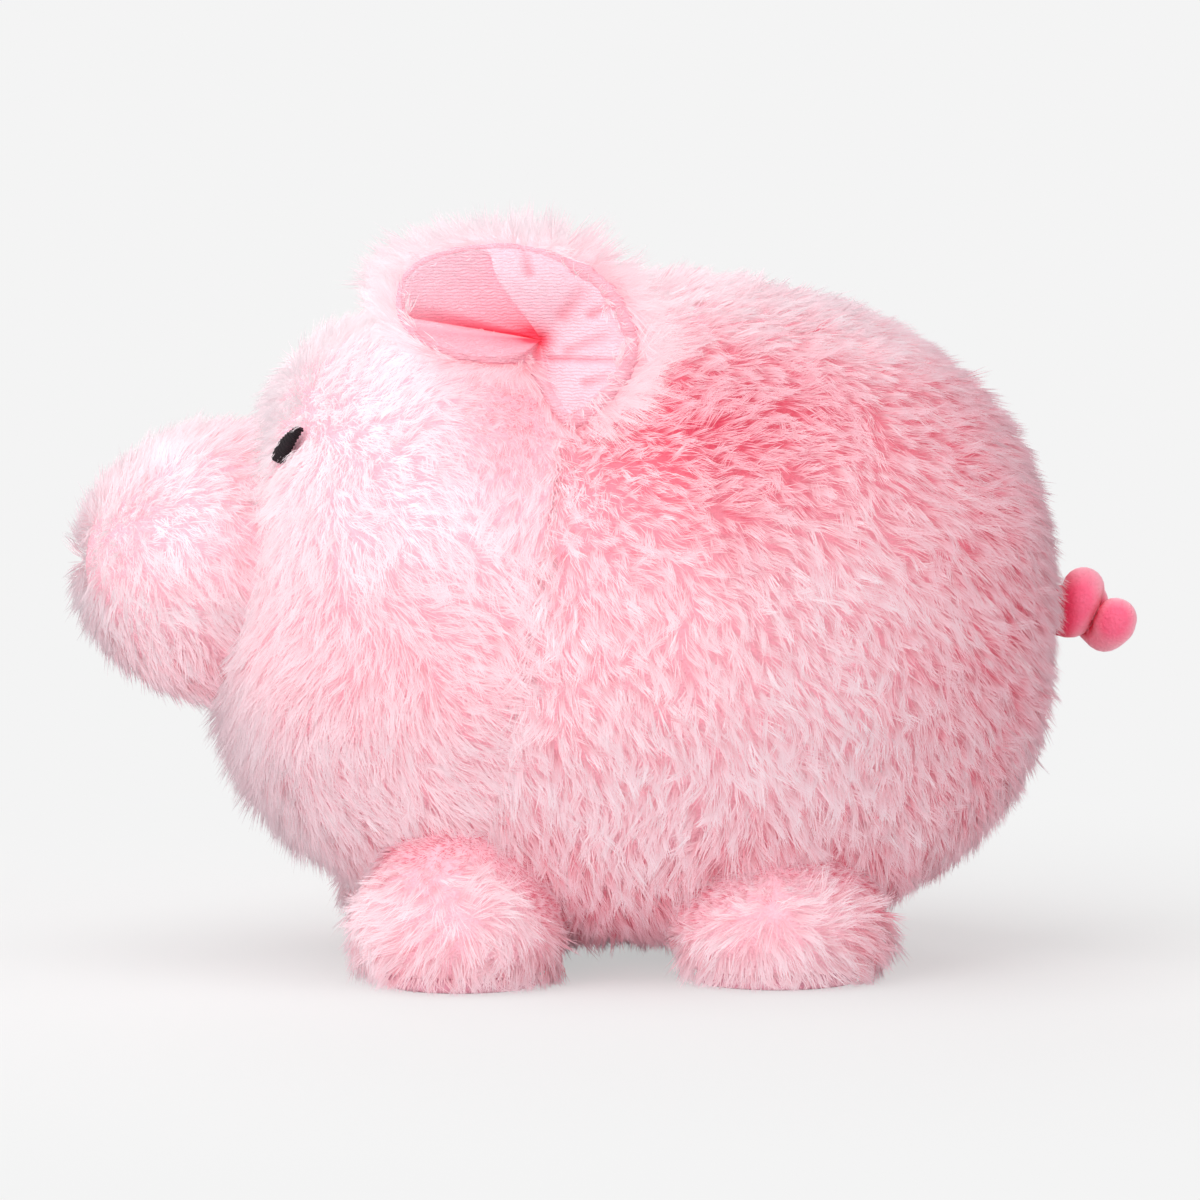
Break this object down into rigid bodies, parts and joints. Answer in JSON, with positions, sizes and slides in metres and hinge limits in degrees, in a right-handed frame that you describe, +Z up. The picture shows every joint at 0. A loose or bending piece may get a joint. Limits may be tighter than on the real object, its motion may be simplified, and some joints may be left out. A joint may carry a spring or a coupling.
{
  "type": "plush piggy bank",
  "caption": "Standing plush pig coin bank in long pink pile, with floppy lined ears, stitched eyes, a curled tail, stubby legs, a coin slot in the back and a stoppered port in the belly.",
  "frame": {"origin": "middle of the footprint, on the ground that the soles stand on", "axes": "+X from the snout to the tail, +Y from the pig's left side to its right, +Z up"},
  "size_m": [0.2666, 0.1636, 0.1843],
  "materials": {
    "plush": "long shaggy pile",
    "velour": "short dense pile",
    "ear_lining": "short pile with a sheen",
    "filling": "loose fibre",
    "eye_thread": "satin stitch",
    "nostril_thread": "satin stitch",
    "trim": "moulded, satin",
    "moulding": "moulded, matt",
    "stopper_rubber": "soft, matt"
  },
  "bodies": {
    "pig": {"torso_left_panel": "plush", "torso_right_panel": "plush", "head_left_panel": "plush", "head_right_panel": "plush", "snout_disc": "plush", "snout_band": "plush", "front_left_leg_sleeve": "plush", "front_left_sole": "plush", "front_right_leg_sleeve": "plush", "front_right_sole": "plush", "hind_left_leg_sleeve": "plush", "hind_left_sole": "plush", "hind_right_leg_sleeve": "plush", "hind_right_sole": "plush", "torso_filling": "filling", "head_filling": "filling", "snout_filling": "filling", "front_left_leg_filling": "filling", "front_right_leg_filling": "filling", "hind_left_leg_filling": "filling", "hind_right_leg_filling": "filling", "left_eye": "eye_thread", "right_eye": "eye_thread", "left_nostril": "nostril_thread", "right_nostril": "nostril_thread", "slot_bezel": "trim", "port_collar": "trim", "coin_chute": "moulding", "coin_box_lid": "moulding", "coin_box_tub": "moulding", "port_lock_ring": "moulding"},
    "left_ear": {"left_ear_back": "plush", "left_ear_lining": "ear_lining"},
    "right_ear": {"right_ear_back": "plush", "right_ear_lining": "ear_lining"},
    "tail": {"tail": "velour"},
    "stopper": {"port_stopper": "stopper_rubber"}
  },
  "joints": [
    {"name": "left_ear_flop", "type": "hinge", "parent": "pig", "child": "left_ear", "pos_m": [-0.033, -0.04724, 0.1465], "axis": [0.7504, -0.5597, -0.3517], "range_deg": [-10, 25], "stiffness_Nm_per_rad": 0.06},
    {"name": "right_ear_flop", "type": "hinge", "parent": "pig", "child": "right_ear", "pos_m": [-0.033, 0.04724, 0.1465], "axis": [-0.7504, -0.5597, 0.3517], "range_deg": [-10, 25], "stiffness_Nm_per_rad": 0.06},
    {"name": "tail_wag", "type": "hinge", "parent": "pig", "child": "tail", "pos_m": [0.1163, 0, 0.086], "axis": [0, 0, 1], "range_deg": [-20, 20], "stiffness_Nm_per_rad": 0.02},
    {"name": "stopper_pull", "type": "slide", "parent": "pig", "child": "stopper", "axis": [0, 0, -1], "range_m": [0, 0.03]}
  ]
}
